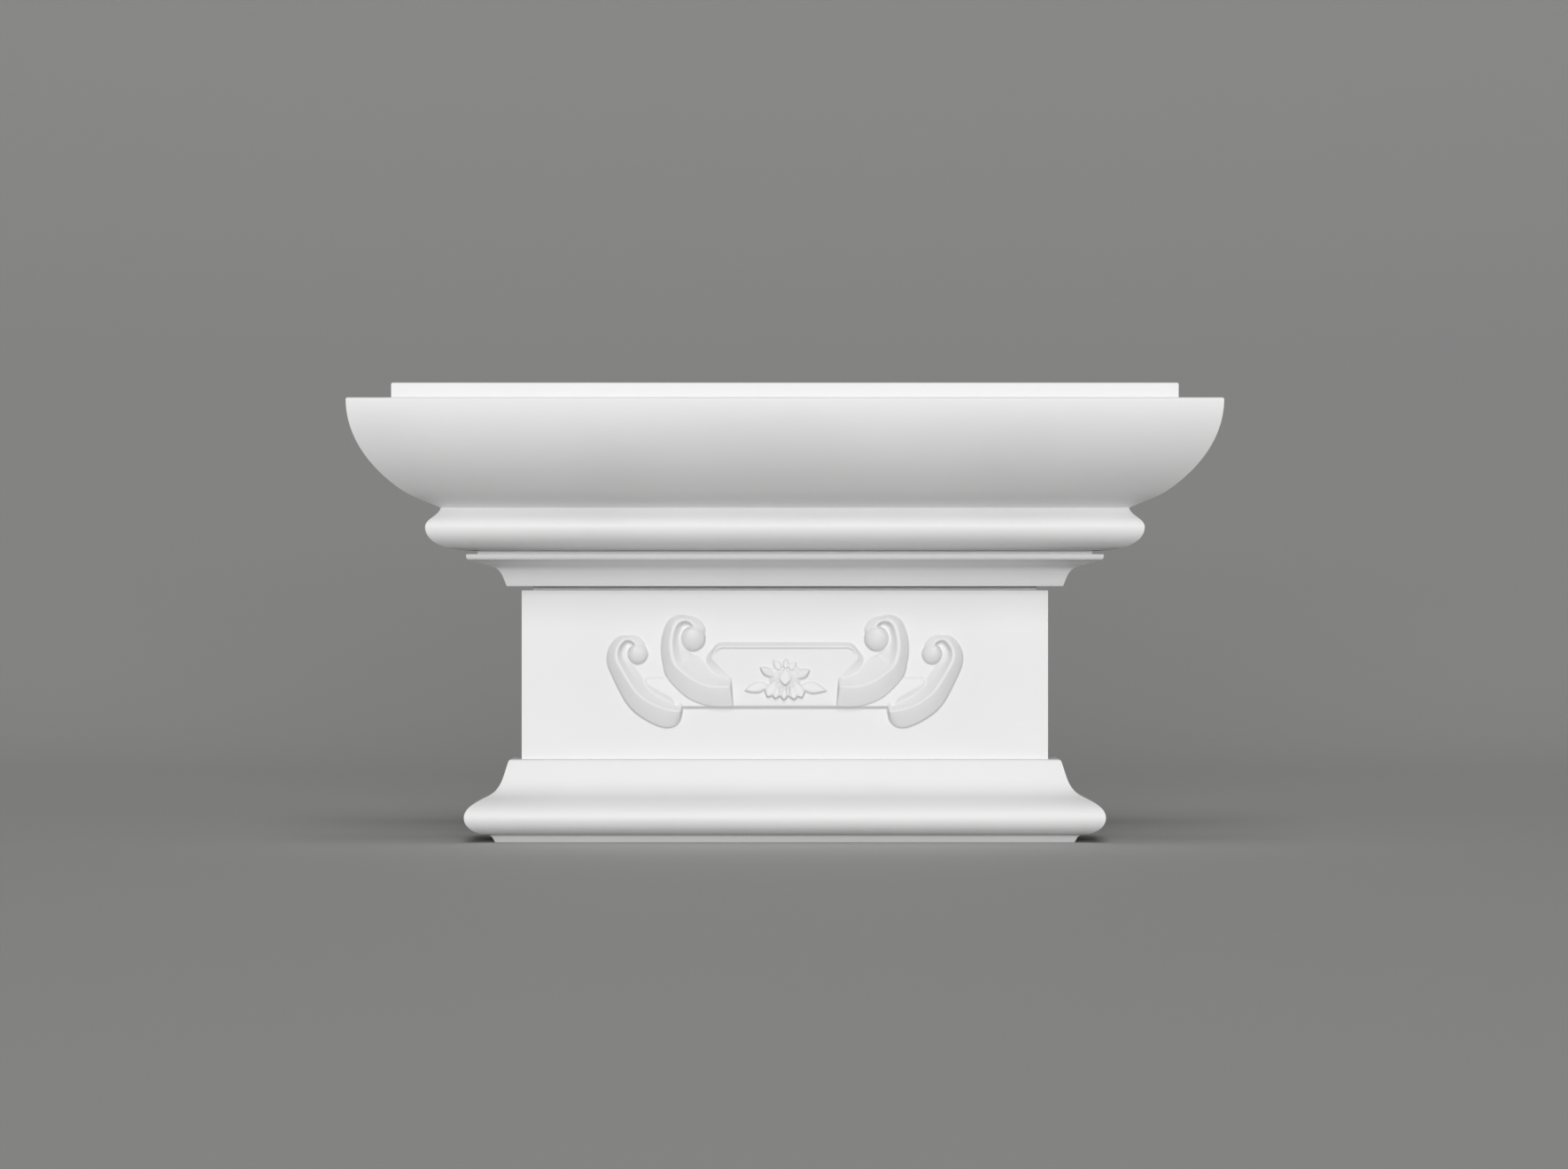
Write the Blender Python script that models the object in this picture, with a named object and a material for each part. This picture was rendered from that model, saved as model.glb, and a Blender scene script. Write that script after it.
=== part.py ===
# Pilaster capital: flared crown, torus, hollow, plain neck with scroll ornament, and base moulding.
# Metres, +Z up. The front faces -Y, the flat back lies toward +Y and the underside is at z = 0.

import math

import bmesh
import bpy

# Neck
NECK_W = 0.2400
NECK_D = 0.0450
NECK_H = 0.0771

# Base moulding, from the underside up; each P is how far it stands out from the neck
FOOT_P = 0.0116
FOOT_TOP_P = 0.0130
FOOT_H = 0.0025
FOOT_SOFFIT_P = 0.0143
FOOT_SOFFIT_H = 0.0009
BASE_NOSE_P = 0.0252
BASE_UNDER_H = 0.0080
BASE_SHOULDER_P = 0.0158
BASE_TOP_H = 0.0090
BASE_SHOULDER_DEG = 155
BASE_LIP_P = 0.0057
BASE_HOLLOW_H = 0.0165
BASE_LIP_DEG = 110
BASE_HOLLOW_FULLNESS = 0.42
BASE_EDGE_P = 0.0050
BASE_EDGE_H = 0.0005

# Sunk lines at the top of the neck and under the torus
NECK_QUIRK_H = 0.0018
NECK_QUIRK_DEPTH = 0.0050
TORUS_QUIRK_H = 0.0018
TORUS_QUIRK_DEPTH = 0.0050

# Hollow moulding over the neck
HOLLOW_FOOT_P = 0.0066
HOLLOW_TOP_P = 0.0208
HOLLOW_H = 0.0113
HOLLOW_FOOT_DEG = 71
HOLLOW_TOP_DEG = 19
HOLLOW_FULLNESS = 0.60
LIP_P = 0.0242
LIP_ROUND_H = 0.0019
LIP_H = 0.0014

# Torus
TORUS_FOOT_P = 0.0250
TORUS_NOSE_P = 0.0418
TORUS_UNDER_H = 0.0102
TORUS_TOP_P = 0.0351
TORUS_TOP_H = 0.0088
TORUS_TOP_DEG = 104

# Crown, a quarter-round shell that flares out to a narrow vertical edge
CROWN_SPRING_DEG = 25
CROWN_SHELL_P = 0.0522
CROWN_SHELL_H = 0.0081
CROWN_SHELL_DEG = 36
CROWN_P = 0.0753
CROWN_H = 0.0400
CROWN_ARRIS = 0.0006
PLATE_P = 0.0562
PLATE_H = 0.0071
PLATE_ARRIS = 0.0005

# How strongly a curve holds its end directions, and the flat steps it is made of
FULLNESS = 0.36
CURVE_STEPS = 8
SHORT_STEPS = 3
CORNER_STEPS = 5

# Ornament, centred on the neck's height; SINK is how deep each form reaches into the neck
SINK = 0.0030

# Scrolls. The crest of each one starts inside the eye, and is a chain of arcs that all turn
# clockwise on the right half. Each arc: radius, turn in degrees, then the section at its end. A
# section: width of the outer wall, height of its foot, height of the crest, width of the crest,
# width of the hollow inside it, share of the crest's height that drops at once, width of that drop.
STATION_LENGTH = 0.0018
STATION_DEG = 12
DISH_MIN_H = 0.0005
DROP_POWER = 1.3
DISH_POWER = 1.05
WALL_MIDDLE = 0.58
END_POWER = 2.2
END_WALL_SHARE = 0.06

OUTER_START_X = 0.0684
OUTER_START_UP = 0.0103
OUTER_HEADING = 124
OUTER_FIRST = (0.0038, 0.0008, 0.0024, 0.0005, 0.0010, 0.85, 0.0008)
OUTER_ARCS = (
    (0.0035, 45, 0.0036, 0.0007, 0.0028, 0.0005, 0.0014, 0.85, 0.0010),
    (0.0039, 80, 0.0014, 0.0003, 0.0026, 0.0006, 0.0026, 0.85, 0.0015),
    (0.0035, 40, 0.0021, 0.0006, 0.0032, 0.0010, 0.0034, 0.80, 0.0018),
    (0.0082, 77, 0.0042, 0.0010, 0.0040, 0.0012, 0.0050, 0.35, 0.0024),
    (0.1400, 5, 0.0054, 0.0012, 0.0046, 0.0010, 0.0058, 0.08, 0.0026),
    (0.0210, 19, 0.0068, 0.0014, 0.0050, 0.0006, 0.0050, 0.03, 0.0026),
    (0.0290, 38, 0.0086, 0.0014, 0.0050, 0.0005, 0.0038, 0.03, 0.0024),
)
OUTER_END_ROUND = 0.0080
OUTER_END_W = 0.0008
OUTER_END_H = 0.0040
OUTER_EYE_X = 0.0671
OUTER_EYE_UP = 0.0094
OUTER_EYE_R = 0.0047
OUTER_EYE_SHIFT_X = 0.0014
OUTER_EYE_SHIFT_UP = 0.0022
OUTER_EYE_H = 0.0040

INNER_START_X = 0.0422
INNER_START_UP = 0.0178
INNER_HEADING = 128
INNER_FIRST = (0.0040, 0.0010, 0.0028, 0.0005, 0.0010, 0.85, 0.0008)
INNER_ARCS = (
    (0.0044, 40, 0.0044, 0.0008, 0.0030, 0.0005, 0.0014, 0.85, 0.0011),
    (0.0044, 72, 0.0014, 0.0003, 0.0028, 0.0008, 0.0030, 0.85, 0.0016),
    (0.0049, 85, 0.0030, 0.0006, 0.0040, 0.0014, 0.0060, 0.60, 0.0026),
    (0.0226, 40, 0.0042, 0.0012, 0.0050, 0.0014, 0.0096, 0.16, 0.0030),
    (0.0086, 27, 0.0062, 0.0018, 0.0056, 0.0010, 0.0106, 0.05, 0.0028),
    (0.0399, 14, 0.0080, 0.0026, 0.0060, 0.0006, 0.0092, 0.03, 0.0026),
    (0.0201, 32, 0.0088, 0.0030, 0.0064, 0.0005, 0.0064, 0.02, 0.0024),
    (0.1144, 2.8, 0.0090, 0.0030, 0.0064, 0.0005, 0.0050, 0.02, 0.0024),
)
INNER_END_ROUND = 0.0
INNER_END_W = 0.0006
INNER_END_H = 0.0050
INNER_EYE_X = 0.0419
INNER_EYE_UP = 0.0164
INNER_EYE_R = 0.0058
INNER_EYE_SHIFT_X = 0.0012
INNER_EYE_SHIFT_UP = 0.0030
INNER_EYE_H = 0.0046

EYE_SIDES = 22
EYE_RINGS = 5
EYE_FOOT_H = 0.0005

# Tablet behind the rosette: its foot is nearly square, its face narrows downward, and the slope
# between them is widest low on each side. A bead runs along the top edge of the face.
TABLET_TOP_X = 0.0305
TABLET_TOP_UP = 0.0150
TABLET_SIDE_X = 0.0359
TABLET_SIDE_UP = 0.0085
TABLET_SIDE_DOWN = 0.0060
TABLET_FOOT_X = 0.0330
TABLET_FOOT_DOWN = 0.0155
TABLET_FOOT_SET = 0.0003
TABLET_CORNER = 0.0042
TABLET_H = 0.0024
TABLET_EDGE_W = 0.0011
TABLET_EDGE_FOOT = 0.25
FACE_TOP_X = 0.0318
FACE_TOP_UP = 0.0134
FACE_CORNER = 0.0048
FACE_SIDE_X = 0.0336
FACE_SIDE_UP = 0.0075
FACE_WAIST_X = 0.0253
FACE_WAIST_DOWN = 0.0008
FACE_BEND = 0.0015
BEAD_W = 0.0020
BEAD_H = 0.0007
BEAD_FOOT = 0.8
BEAD_FADE_STEPS = 4

# Low wings that run out from the tablet behind the scrolls, lowest along their upper edge
WING_END_X = 0.0654
WING_TOP_UP = -0.0008
WING_TIP_DOWN = 0.0066
WING_FOOT_X = 0.0502
WING_BEND_X = 0.0545
WING_BEND_DOWN = 0.0134
WING_TOP_H = 0.0010
WING_FOOT_H = 0.0022
WING_CORNER = 0.0030
WING_FACE_LOW_X = 0.0498
WING_FACE_BEND_X = 0.0516
WING_FACE_BEND_DOWN = 0.0105
WING_FACE_END_X = 0.0630
WING_FACE_TIP_DOWN = 0.0040
WING_FACE_CORNER = 0.0006
WING_EDGE_W = 0.0011

# Rosette. Each petal: root x, root up, tip x, tip up, width, height at the root, height at the tip,
# how far along it is widest, and how steeply its face falls toward its upper edge. Up is measured
# from the ornament's centre.
BOSS_X = 0.0
BOSS_UP = -0.0022
BOSS_W = 0.0176
BOSS_TALL = 0.0128
BOSS_H = 0.0045
PETAL_SIDES = 20
PETAL_BEVEL = 0.0006
PETAL_EDGE_RISE = 0.62
PETAL_FACE_SPREAD = 0.70
PETALS = (
    (-0.0080, -0.0046, -0.0188, -0.0073, 0.0056, 0.0036, 0.0040, 0.40, 0.14),
    (0.0078, -0.0050, 0.0195, -0.0074, 0.0060, 0.0036, 0.0040, 0.36, 0.14),
    (-0.0022, 0.0010, -0.0094, 0.0014, 0.0042, 0.0030, 0.0036, 0.50, 0.0),
    (-0.0030, -0.0018, -0.0114, 0.0034, 0.0044, 0.0034, 0.0047, 0.60, 0.06),
    (0.0026, 0.0012, 0.0072, 0.0024, 0.0040, 0.0030, 0.0038, 0.60, 0.0),
    (0.0034, -0.0022, 0.0114, 0.0022, 0.0048, 0.0034, 0.0046, 0.60, 0.06),
    (-0.0018, 0.0022, -0.0054, 0.0070, 0.0042, 0.0040, 0.0031, 0.36, 0.0),
    (0.0003, 0.0026, 0.0007, 0.0078, 0.0036, 0.0040, 0.0031, 0.36, 0.0),
    (0.0022, 0.0022, 0.0052, 0.0062, 0.0042, 0.0040, 0.0031, 0.36, 0.0),
    (-0.0038, -0.0022, -0.0082, -0.0102, 0.0062, 0.0036, 0.0050, 0.62, 0.04),
    (-0.0022, -0.0032, -0.0047, -0.0110, 0.0048, 0.0040, 0.0054, 0.66, 0.02),
    (0.0001, -0.0042, -0.0006, -0.0116, 0.0044, 0.0040, 0.0055, 0.66, 0.0),
    (0.0022, -0.0032, 0.0046, -0.0114, 0.0052, 0.0040, 0.0053, 0.68, 0.02),
    (0.0042, -0.0022, 0.0079, -0.0106, 0.0064, 0.0036, 0.0051, 0.62, 0.04),
    (0.0002, 0.0036, 0.0001, -0.0050, 0.0078, 0.0036, 0.0061, 0.56, 0.0),
)

# Points closer than this are one point
MERGE = 0.000002

# Finish
PAINT_COLOUR = (0.86, 0.86, 0.85, 1.0)
PAINT_ROUGHNESS = 0.55


def bow(start, start_deg, end, end_deg, fullness, steps):
    """Points of a smooth curve after start, leaving and arriving at the given angles."""
    pull = fullness * math.dist(start, end)
    leave = math.radians(start_deg)
    arrive = math.radians(end_deg)
    near = (start[0] + pull * math.cos(leave), start[1] + pull * math.sin(leave))
    far = (end[0] - pull * math.cos(arrive), end[1] - pull * math.sin(arrive))
    points = []
    for i in range(1, steps + 1):
        t = i / steps
        a = (1 - t) ** 3
        b = 3 * (1 - t) ** 2 * t
        c = 3 * (1 - t) * t ** 2
        d = t ** 3
        p = a * start[0] + b * near[0] + c * far[0] + d * end[0]
        z = a * start[1] + b * near[1] + c * far[1] + d * end[1]
        points.append((p, z))
    return points


def profile():
    """Side outline of the mouldings as (stand-out from the neck, height), underside to top."""
    points = [(FOOT_P, 0.0)]
    z = FOOT_H
    points.append((FOOT_TOP_P, z))
    z += FOOT_SOFFIT_H
    points.append((FOOT_SOFFIT_P, z))
    nose = (BASE_NOSE_P, z + BASE_UNDER_H)
    points += bow(points[-1], 0, nose, 90, FULLNESS, CURVE_STEPS)
    shoulder = (BASE_SHOULDER_P, nose[1] + BASE_TOP_H)
    points += bow(nose, 90, shoulder, BASE_SHOULDER_DEG, FULLNESS, CURVE_STEPS)
    lip = (BASE_LIP_P, shoulder[1] + BASE_HOLLOW_H)
    points += bow(shoulder, BASE_SHOULDER_DEG, lip, BASE_LIP_DEG, BASE_HOLLOW_FULLNESS, CURVE_STEPS)
    z = lip[1] + BASE_EDGE_H
    points.append((BASE_EDGE_P, z))
    points.append((0.0, z))
    z += NECK_H
    points.append((0.0, z))
    points.append((-NECK_QUIRK_DEPTH, z))
    z += NECK_QUIRK_H
    points.append((-NECK_QUIRK_DEPTH, z))
    points.append((HOLLOW_FOOT_P, z))
    top = (HOLLOW_TOP_P, z + HOLLOW_H)
    points += bow(points[-1], HOLLOW_FOOT_DEG, top, HOLLOW_TOP_DEG, HOLLOW_FULLNESS, CURVE_STEPS)
    edge = (LIP_P, top[1] + LIP_ROUND_H)
    points += bow(top, HOLLOW_TOP_DEG, edge, 90, FULLNESS, SHORT_STEPS)
    z = edge[1] + LIP_H
    points.append((LIP_P, z))
    points.append((LIP_P - TORUS_QUIRK_DEPTH, z))
    z += TORUS_QUIRK_H
    points.append((LIP_P - TORUS_QUIRK_DEPTH, z))
    points.append((TORUS_FOOT_P, z))
    nose = (TORUS_NOSE_P, z + TORUS_UNDER_H)
    points += bow(points[-1], 0, nose, 90, FULLNESS, CURVE_STEPS)
    crease = (TORUS_TOP_P, nose[1] + TORUS_TOP_H)
    points += bow(nose, 90, crease, TORUS_TOP_DEG, FULLNESS, CURVE_STEPS)
    shell = (CROWN_SHELL_P, crease[1] + CROWN_SHELL_H)
    points += bow(crease, CROWN_SPRING_DEG, shell, CROWN_SHELL_DEG, FULLNESS, SHORT_STEPS)
    crown = (CROWN_P, shell[1] + CROWN_H)
    points += bow(shell, CROWN_SHELL_DEG, crown, 90, FULLNESS, 2 * CURVE_STEPS)
    z = crown[1] + CROWN_ARRIS
    points.append((CROWN_P - CROWN_ARRIS, z))
    points.append((PLATE_P, z))
    z += PLATE_H
    points.append((PLATE_P, z - PLATE_ARRIS))
    points.append((PLATE_P - PLATE_ARRIS, z))
    return points


def neck_front():
    """Y of the neck's front face, with the whole depth centred on the origin."""
    return (CROWN_P + NECK_D) / 2 - NECK_D


def new_object(name, bm):
    bmesh.ops.recalc_face_normals(bm, faces=bm.faces)
    mesh = bpy.data.meshes.new(name)
    bm.to_mesh(mesh)
    bm.free()
    obj = bpy.data.objects.new(name, mesh)
    bpy.context.collection.objects.link(obj)
    return obj


def moulded_block():
    """The block with its mouldings mitred round the front and both ends, flat behind."""
    bm = bmesh.new()
    front = neck_front()
    back = front + NECK_D
    rows = []
    for p, z in profile():
        half = NECK_W / 2 + p
        corners = ((-half, back), (-half, front - p), (half, front - p), (half, back))
        rows.append([bm.verts.new((x, y, z)) for x, y in corners])
    for low, high in zip(rows, rows[1:]):
        for i in range(3):
            bm.faces.new((low[i], low[i + 1], high[i + 1], high[i]))
    bm.faces.new(rows[0][::-1])
    bm.faces.new(rows[-1])
    bm.faces.new([row[0] for row in rows] + [row[3] for row in reversed(rows)])
    return new_object("capital", bm)


def neck_foot():
    """Height of the neck's lower end, on top of the base moulding."""
    return FOOT_H + FOOT_SOFFIT_H + BASE_UNDER_H + BASE_TOP_H + BASE_HOLLOW_H + BASE_EDGE_H


def on_neck(x, up, height):
    """World point for a spot on the ornament, height standing out of the neck's face."""
    return (x, neck_front() - height, neck_foot() + NECK_H / 2 + up)


def stations(start, heading_deg, arcs, first):
    """Points along a chain of clockwise arcs, with heading and the section sizes at each."""
    x, up = start
    heading = math.radians(heading_deg)
    sizes = first
    found = [(x, up, heading, sizes)]
    for radius, turn_deg, *end_sizes in arcs:
        turn = math.radians(turn_deg)
        count = max(2, round(turn_deg / STATION_DEG), round(radius * turn / STATION_LENGTH))
        centre = (x + radius * math.sin(heading), up - radius * math.cos(heading))
        for i in range(1, count + 1):
            share = i / count
            angle = heading - turn * share
            px = centre[0] - radius * math.sin(angle)
            pz = centre[1] + radius * math.cos(angle)
            mixed = [a + (b - a) * share for a, b in zip(sizes, end_sizes)]
            found.append((px, pz, angle, mixed))
        x, up = found[-1][0], found[-1][1]
        heading -= turn
        sizes = end_sizes
    return found


def hollow_height(u, crest, hollow, drop, drop_w):
    """Height at a distance u inside the crest: a quick drop, then a dish that runs out."""
    quick = max(0.0, 1 - u / drop_w) ** DROP_POWER
    dish = max(0.0, 1 - u / hollow) ** DISH_POWER
    return max(DISH_MIN_H, crest * (drop * quick + (1 - drop) * dish))


def scroll_section(wall, foot, crest, crest_w, hollow, drop, drop_w):
    """Section across a scroll as (distance outward from the crest's middle, height)."""
    half = crest_w / 2
    section = [(half + wall, -SINK), (half + wall, foot)]
    section.append((half + wall * 0.5, foot + (crest - foot) * WALL_MIDDLE))
    section += [(half, crest), (-half, crest)]
    for u in (drop_w * 0.5, drop_w, (drop_w + hollow) / 2):
        section.append((-half - u, hollow_height(u, crest, hollow, drop, drop_w)))
    section.append((-half - hollow, -SINK))
    return section


def scroll(name, side, path, end_round, end_w, end_h):
    """A scroll swept along its crest, which sinks toward its end, with the wall rounded if asked."""
    bm = bmesh.new()
    length = [0.0]
    for a, b in zip(path, path[1:]):
        length.append(length[-1] + math.dist(a[:2], b[:2]))
    rings = []
    for (x, up, angle, sizes), run in zip(path, length):
        wall, foot, crest, *inside = sizes
        left = length[-1] - run
        if left < end_w:
            crest = end_h + (crest - end_h) * left / end_w
        if left < end_round:
            full = 1 - ((end_round - left) / end_round) ** END_POWER
            wall *= max(END_WALL_SHARE, full) ** (1 / END_POWER)
        ring = []
        for out, height in scroll_section(wall, foot, crest, *inside):
            px = x - out * math.sin(angle)
            pz = up + out * math.cos(angle)
            ring.append(bm.verts.new(on_neck(side * px, pz, height)))
        rings.append(ring)
    for a, b in zip(rings, rings[1:]):
        for i in range(len(a)):
            j = (i + 1) % len(a)
            bm.faces.new((a[i], a[j], b[j], b[i]))
    bm.faces.new(rings[0])
    bm.faces.new(rings[-1])
    return new_object(name, bm)


def dome(name, x, up, width, tall, height, shift_x=0.0, shift_up=0.0):
    """A rounded boss on a short sunk foot, its top shifted off the middle of its foot."""
    bm = bmesh.new()
    rings = []
    for k in range(EYE_RINGS + 1):
        tilt = max(0.0, math.pi / 2 * (k - 1) / EYE_RINGS)
        spread = math.cos(tilt)
        rise = EYE_FOOT_H + (height - EYE_FOOT_H) * math.sin(tilt) if k else -SINK
        ring = []
        for i in range(EYE_SIDES):
            a = 2 * math.pi * i / EYE_SIDES
            px = x + shift_x * (1 - spread) + width / 2 * spread * math.cos(a)
            pz = up + shift_up * (1 - spread) + tall / 2 * spread * math.sin(a)
            ring.append(bm.verts.new(on_neck(px, pz, rise)))
        rings.append(ring)
    tip = bm.verts.new(on_neck(x + shift_x, up + shift_up, height))
    for a, b in zip(rings, rings[1:]):
        for i in range(EYE_SIDES):
            j = (i + 1) % EYE_SIDES
            bm.faces.new((a[i], a[j], b[j], b[i]))
    for i in range(EYE_SIDES):
        bm.faces.new((rings[-1][i], rings[-1][(i + 1) % EYE_SIDES], tip))
    bm.faces.new(rings[0])
    return new_object(name, bm)


def rounded(corners):
    """Outline through (x, up, radius, ...) corners, each corner an arc of its radius."""
    outline = []
    for i, (x, up, radius, *_) in enumerate(corners):
        ax, au = corners[i - 1][:2]
        bx, bu = corners[(i + 1) % len(corners)][:2]
        to_a = math.atan2(au - up, ax - x)
        to_b = math.atan2(bu - up, bx - x)
        between = (to_b - to_a + math.pi) % (2 * math.pi) - math.pi
        cut = radius / math.tan(abs(between) / 2)
        reach = radius / math.sin(abs(between) / 2)
        middle = to_a + between / 2
        centre = (x + reach * math.cos(middle), up + reach * math.sin(middle))
        first = math.atan2(up + cut * math.sin(to_a) - centre[1], x + cut * math.cos(to_a) - centre[0])
        last = math.atan2(up + cut * math.sin(to_b) - centre[1], x + cut * math.cos(to_b) - centre[0])
        sweep = (last - first + math.pi) % (2 * math.pi) - math.pi
        for k in range(CORNER_STEPS + 1):
            a = first + sweep * k / CORNER_STEPS
            outline.append((centre[0] + radius * math.cos(a), centre[1] + radius * math.sin(a)))
    return outline


def slab(name, foot_corners, face_corners, height_at):
    """A raised field: a foot outline, a smaller face outline, and a slope between them."""
    bm = bmesh.new()
    outer = rounded(foot_corners)
    inner = rounded(face_corners)
    rings = [[bm.verts.new(on_neck(x, up, -SINK)) for x, up in outer]]
    rings.append([bm.verts.new(on_neck(x, up, height_at(up) * TABLET_EDGE_FOOT)) for x, up in outer])
    rings.append([bm.verts.new(on_neck(x, up, height_at(up))) for x, up in inner])
    for a, b in zip(rings, rings[1:]):
        for i in range(len(a)):
            j = (i + 1) % len(a)
            bm.faces.new((a[i], a[j], b[j], b[i]))
    bm.faces.new(rings[0])
    bm.faces.new(rings[-1])
    return new_object(name, bm)


def tablet_foot():
    down = TABLET_FOOT_DOWN - TABLET_FOOT_SET
    return (
        (-TABLET_FOOT_X, -down, TABLET_EDGE_W),
        (TABLET_FOOT_X, -down, TABLET_EDGE_W),
        (TABLET_SIDE_X, -TABLET_SIDE_DOWN, TABLET_EDGE_W),
        (TABLET_SIDE_X, TABLET_SIDE_UP, TABLET_CORNER),
        (TABLET_TOP_X, TABLET_TOP_UP, TABLET_CORNER),
        (-TABLET_TOP_X, TABLET_TOP_UP, TABLET_CORNER),
        (-TABLET_SIDE_X, TABLET_SIDE_UP, TABLET_CORNER),
        (-TABLET_SIDE_X, -TABLET_SIDE_DOWN, TABLET_EDGE_W),
    )


def tablet_face():
    down = TABLET_FOOT_DOWN - TABLET_FOOT_SET - TABLET_EDGE_W
    return (
        (-FACE_WAIST_X, -down, TABLET_EDGE_W),
        (FACE_WAIST_X, -down, TABLET_EDGE_W),
        (FACE_WAIST_X, -FACE_WAIST_DOWN, FACE_BEND),
        (FACE_SIDE_X, FACE_SIDE_UP, FACE_BEND),
        (FACE_TOP_X, FACE_TOP_UP, FACE_CORNER),
        (-FACE_TOP_X, FACE_TOP_UP, FACE_CORNER),
        (-FACE_SIDE_X, FACE_SIDE_UP, FACE_BEND),
        (-FACE_WAIST_X, -FACE_WAIST_DOWN, FACE_BEND),
    )


def wing_foot():
    """Foot of the low wings, one shape running behind the tablet from side to side."""
    return (
        (WING_FOOT_X, -TABLET_FOOT_DOWN, WING_EDGE_W),
        (WING_BEND_X, -WING_BEND_DOWN, WING_EDGE_W),
        (WING_END_X, -WING_TIP_DOWN, WING_CORNER),
        (WING_END_X, WING_TOP_UP, WING_CORNER),
        (-WING_END_X, WING_TOP_UP, WING_CORNER),
        (-WING_END_X, -WING_TIP_DOWN, WING_CORNER),
        (-WING_BEND_X, -WING_BEND_DOWN, WING_EDGE_W),
        (-WING_FOOT_X, -TABLET_FOOT_DOWN, WING_EDGE_W),
    )


def wing_face():
    low = TABLET_FOOT_DOWN - WING_EDGE_W
    return (
        (WING_FACE_LOW_X, -low, WING_EDGE_W),
        (WING_FACE_BEND_X, -WING_FACE_BEND_DOWN, WING_EDGE_W),
        (WING_FACE_END_X, -WING_FACE_TIP_DOWN, WING_EDGE_W),
        (WING_FACE_END_X, WING_TOP_UP - WING_EDGE_W, WING_FACE_CORNER),
        (-WING_FACE_END_X, WING_TOP_UP - WING_EDGE_W, WING_FACE_CORNER),
        (-WING_FACE_END_X, -WING_FACE_TIP_DOWN, WING_EDGE_W),
        (-WING_FACE_BEND_X, -WING_FACE_BEND_DOWN, WING_EDGE_W),
        (-WING_FACE_LOW_X, -low, WING_EDGE_W),
    )


def wing_height(up):
    """The wings rise from their upper edge down to their foot."""
    share = (WING_TOP_UP - up) / (WING_TOP_UP + TABLET_FOOT_DOWN)
    return WING_TOP_H + (WING_FOOT_H - WING_TOP_H) * share


def tablet_height(up):
    return TABLET_H


def bead(name):
    """Low line along the tablet's top edge that turns down its sides and fades out."""
    bm = bmesh.new()
    outline = rounded(tablet_face())
    line = outline[4 * (CORNER_STEPS + 1):6 * (CORNER_STEPS + 1)]
    rings = []
    for i, (x, up) in enumerate(line):
        ax, au = line[max(0, i - 1)]
        bx, bu = line[min(len(line) - 1, i + 1)]
        size = math.dist((ax, au), (bx, bu))
        nx = -(bu - au) / size
        nu = (bx - ax) / size
        fade = min(1.0, (1 + min(i, len(line) - 1 - i)) / BEAD_FADE_STEPS)
        top = TABLET_H + BEAD_H * fade
        foot = TABLET_H * BEAD_FOOT
        section = ((-0.1, -SINK), (-0.1, foot), (0.2, top), (0.5, top), (0.9, foot), (0.9, -SINK))
        ring = []
        for across, rise in section:
            shift = across * BEAD_W * fade
            ring.append(bm.verts.new(on_neck(x + nx * shift, up + nu * shift, rise)))
        rings.append(ring)
    for a, b in zip(rings, rings[1:]):
        for i in range(len(a)):
            j = (i + 1) % len(a)
            bm.faces.new((a[i], a[j], b[j], b[i]))
    bm.faces.new(rings[0])
    bm.faces.new(rings[-1])
    return new_object(name, bm)


def petal(name, root_x, root_up, tip_x, tip_up, width, root_h, tip_h, widest, lean):
    """A leaf form, pointed at the tip, with a flat leaning face and steep edges."""
    bm = bmesh.new()
    length = math.dist((root_x, root_up), (tip_x, tip_up))
    along = ((tip_x - root_x) / length, (tip_up - root_up) / length)
    across = (-along[1], along[0])
    power = -math.log(2) / math.log(widest)
    half = PETAL_SIDES // 2
    ring_low = []
    ring_edge = []
    ring_top = []
    shares = [0.5 - 0.5 * math.cos(math.pi * i / half) for i in range(half + 1)]
    trail = [(t, 1) for t in shares] + [(t, -1) for t in reversed(shares[1:-1])]
    for t, sign in trail:
        spread = math.sin(math.pi * t ** power) * width / 2
        rise = root_h + (tip_h - root_h) * t
        for ring, share, pull, height in (
            (ring_low, 1.0, 0.0, -SINK),
            (ring_edge, 1.0, 0.0, rise * PETAL_EDGE_RISE),
            (ring_top, PETAL_FACE_SPREAD, PETAL_BEVEL, rise),
        ):
            run = pull + (length - 2 * pull) * t
            x = root_x + along[0] * run + across[0] * spread * sign * share
            up = root_up + along[1] * run + across[1] * spread * sign * share
            if height > 0:
                height -= lean * across[1] * spread * sign * share
            ring.append(bm.verts.new(on_neck(x, up, height)))
    count = len(ring_low)
    for a, b in ((ring_low, ring_edge), (ring_edge, ring_top)):
        for i in range(count):
            j = (i + 1) % count
            bm.faces.new((a[i], a[j], b[j], b[i]))
    bm.faces.new(ring_low)
    bm.faces.new(ring_top)
    return new_object(name, bm)


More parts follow.
